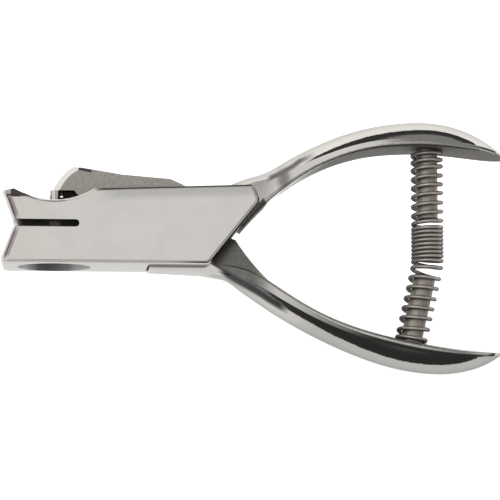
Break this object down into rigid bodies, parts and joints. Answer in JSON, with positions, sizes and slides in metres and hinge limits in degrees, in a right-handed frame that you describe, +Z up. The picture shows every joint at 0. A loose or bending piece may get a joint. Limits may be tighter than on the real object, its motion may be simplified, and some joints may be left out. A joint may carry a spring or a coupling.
{
  "type": "id card slot punch",
  "caption": "Hand-held plier-type slot punch for cards: slotted jaws with a throat, a pivoted lever that drives a punch, and sprung handles.",
  "frame": {"origin": "on the pivot axis, in the outer face of the cheek that the tool lies on", "axes": "+X from the jaws to the handles' ends, +Y from the lower handle to the upper one, +Z up through the tool's thickness as it lies"},
  "size_m": [0.1467, 0.0738, 0.025],
  "materials": {
    "head_and_upper_handle": "polished, bright nickel-chrome plated forging",
    "lever_and_lower_handle": "polished handle, satin plated nose and gusset",
    "pivot_pin": "ground flush and polished",
    "punch_blade": "hardened and ground",
    "die_button": "hardened and ground",
    "die_dowel": "ground",
    "upper_spring_post": "turned, dull",
    "lower_spring_post": "turned, dull",
    "return_spring": "oil-tempered wire, dull"
  },
  "bodies": {
    "frame": {"head_and_upper_handle": "head_and_upper_handle", "pivot_pin": "pivot_pin", "die_button": "die_button", "die_dowel": "die_dowel", "upper_spring_post": "upper_spring_post", "return_spring": "return_spring"},
    "lever": {"lever_and_lower_handle": "lever_and_lower_handle", "lower_spring_post": "lower_spring_post"},
    "punch": {"punch_blade": "punch_blade"}
  },
  "joints": [
    {"name": "lever_hinge", "type": "hinge", "parent": "frame", "child": "lever", "pos_m": [0, 0, 0.0125], "axis": [0, 0, 1], "range_deg": [0, 7], "stiffness_Nm_per_rad": 5, "springref_deg": -4.01, "deforming": ["return_spring"]},
    {"name": "punch_slide", "type": "slide", "parent": "frame", "child": "punch", "axis": [0, -1, 0], "range_m": [0, 0.00445]}
  ],
  "couplings": [
    {"joint": "punch_slide", "follows": "lever_hinge", "m_per_rad": 0.0362}
  ]
}
